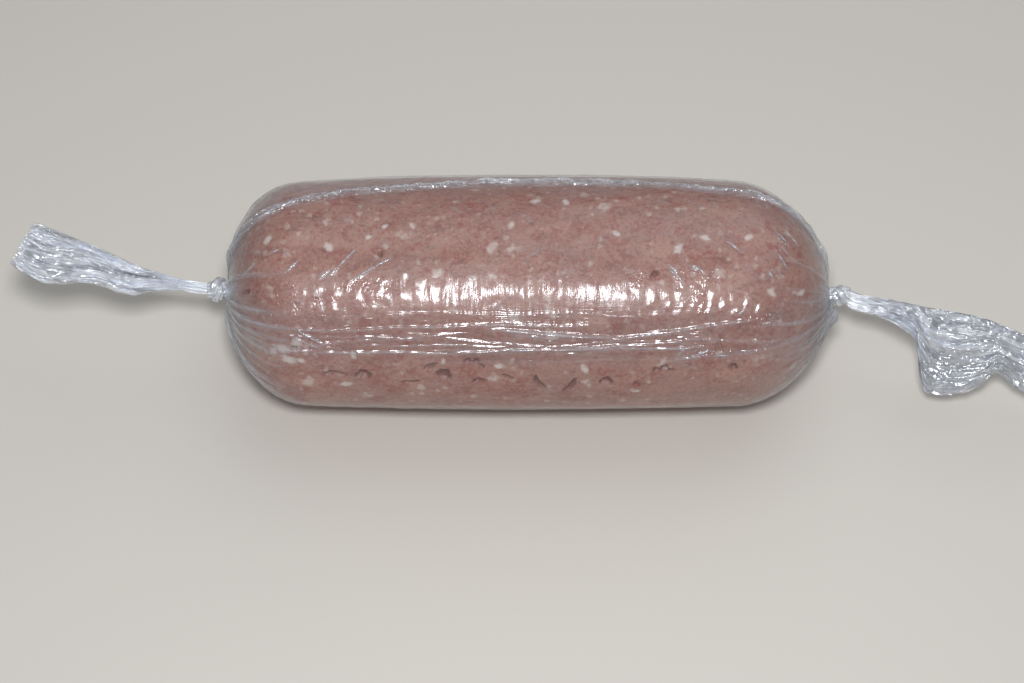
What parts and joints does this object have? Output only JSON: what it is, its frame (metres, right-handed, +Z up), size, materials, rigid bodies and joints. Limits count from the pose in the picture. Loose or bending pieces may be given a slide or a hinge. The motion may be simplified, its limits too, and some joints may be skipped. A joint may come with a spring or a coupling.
{
  "type": "sausage",
  "caption": "Thick roll of ground meat wrapped in clear film, with the film knotted and flared into a loose tail at each end, lying on its flat underside.",
  "frame": {"origin": "middle of the flat underside that the sausage rests on", "axes": "+X along the sausage, +Z up from the surface it lies on"},
  "size_m": [0.3484, 0.08, 0.071],
  "materials": {
    "meat": "moist ground meat, mottled pink with pale fat and a little pepper",
    "clear_film": "clear glossy kitchen film, wrinkled and close against the meat",
    "gathered_film": "milky, crumpled layers of clear film"
  },
  "bodies": {
    "root": {"sausage_meat": "meat", "film_wrap": "clear_film", "left_knot": "gathered_film", "right_knot": "gathered_film", "left_tail": "gathered_film", "right_tail": "gathered_film"}
  },
  "joints": []
}
